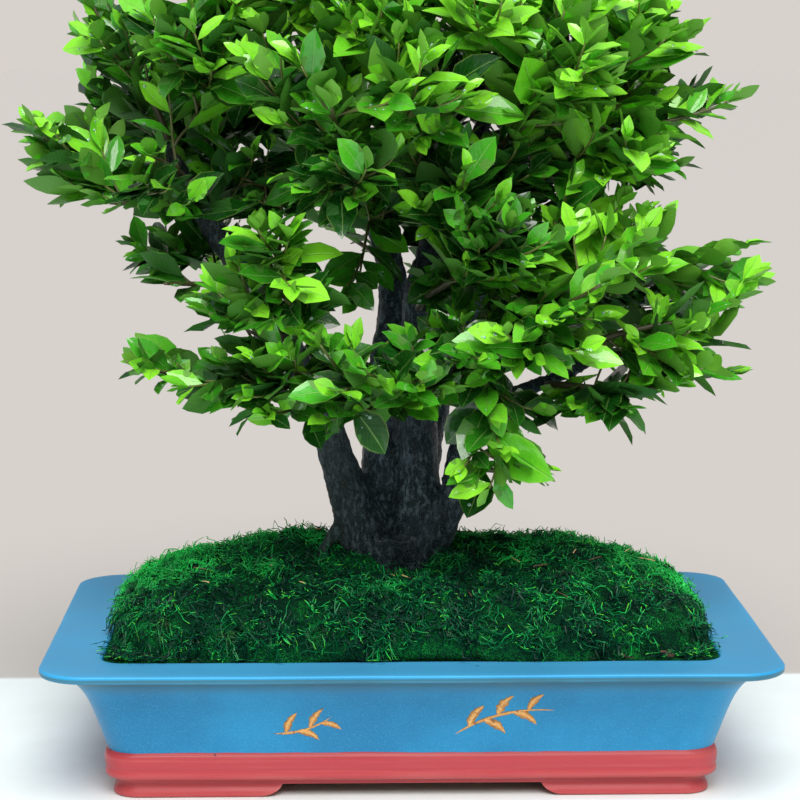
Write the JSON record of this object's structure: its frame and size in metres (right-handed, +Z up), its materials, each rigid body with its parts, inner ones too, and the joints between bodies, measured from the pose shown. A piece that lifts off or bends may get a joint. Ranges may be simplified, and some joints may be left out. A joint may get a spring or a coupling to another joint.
{
  "type": "potted bonsai",
  "caption": "Broad-leaved bonsai with a short many-limbed trunk, on a moss mound in a rectangular glazed ceramic pot with a wide lip and bracket feet.",
  "frame": {"origin": "on the surface the feet stand on, under the middle of the pot", "axes": "+Z up, -Y towards the pot's front, +X to the right as seen from the front"},
  "size_m": [0.4637, 0.3151, 0.4882],
  "materials": {
    "pot_glaze": "blue glaze with a soft sheen on the body and lip, red glaze on the band and feet",
    "screen_plastic": "black plastic mesh",
    "soil": "moist dark potting soil",
    "moss": "long-stranded deep green moss",
    "bark": "near-black wet bark, finely ridged",
    "foliage": "glossy green leaves on olive-brown twigs"
  },
  "bodies": {
    "root": {"pot": "pot_glaze", "drain_screen_left": "screen_plastic", "drain_screen_right": "screen_plastic", "soil": "soil", "moss": "moss", "trunk": "bark", "spray_low_left": "foliage", "spray_low_left_front": "foliage", "spray_low_front": "foliage", "spray_low_cluster": "foliage", "spray_low_right_front": "foliage", "spray_low_right": "foliage", "spray_low_right_back": "foliage", "spray_low_back": "foliage", "spray_low_left_back": "foliage", "spray_mid_left": "foliage", "spray_mid_left_low": "foliage", "spray_mid_left_front": "foliage", "spray_mid_front": "foliage", "spray_mid_right_front": "foliage", "spray_mid_right_low": "foliage", "spray_mid_right": "foliage", "spray_mid_right_back": "foliage", "spray_mid_back": "foliage", "spray_mid_back_left": "foliage", "spray_mid_left_back": "foliage", "spray_up_left_front": "foliage", "spray_up_front_left": "foliage", "spray_up_front_right": "foliage", "spray_up_right": "foliage", "spray_up_right_back": "foliage", "spray_up_back": "foliage", "spray_up_left_back": "foliage", "spray_top_left": "foliage", "spray_top_front": "foliage", "spray_top_right": "foliage", "spray_top_middle": "foliage", "spray_top_back": "foliage"}
  },
  "joints": []
}
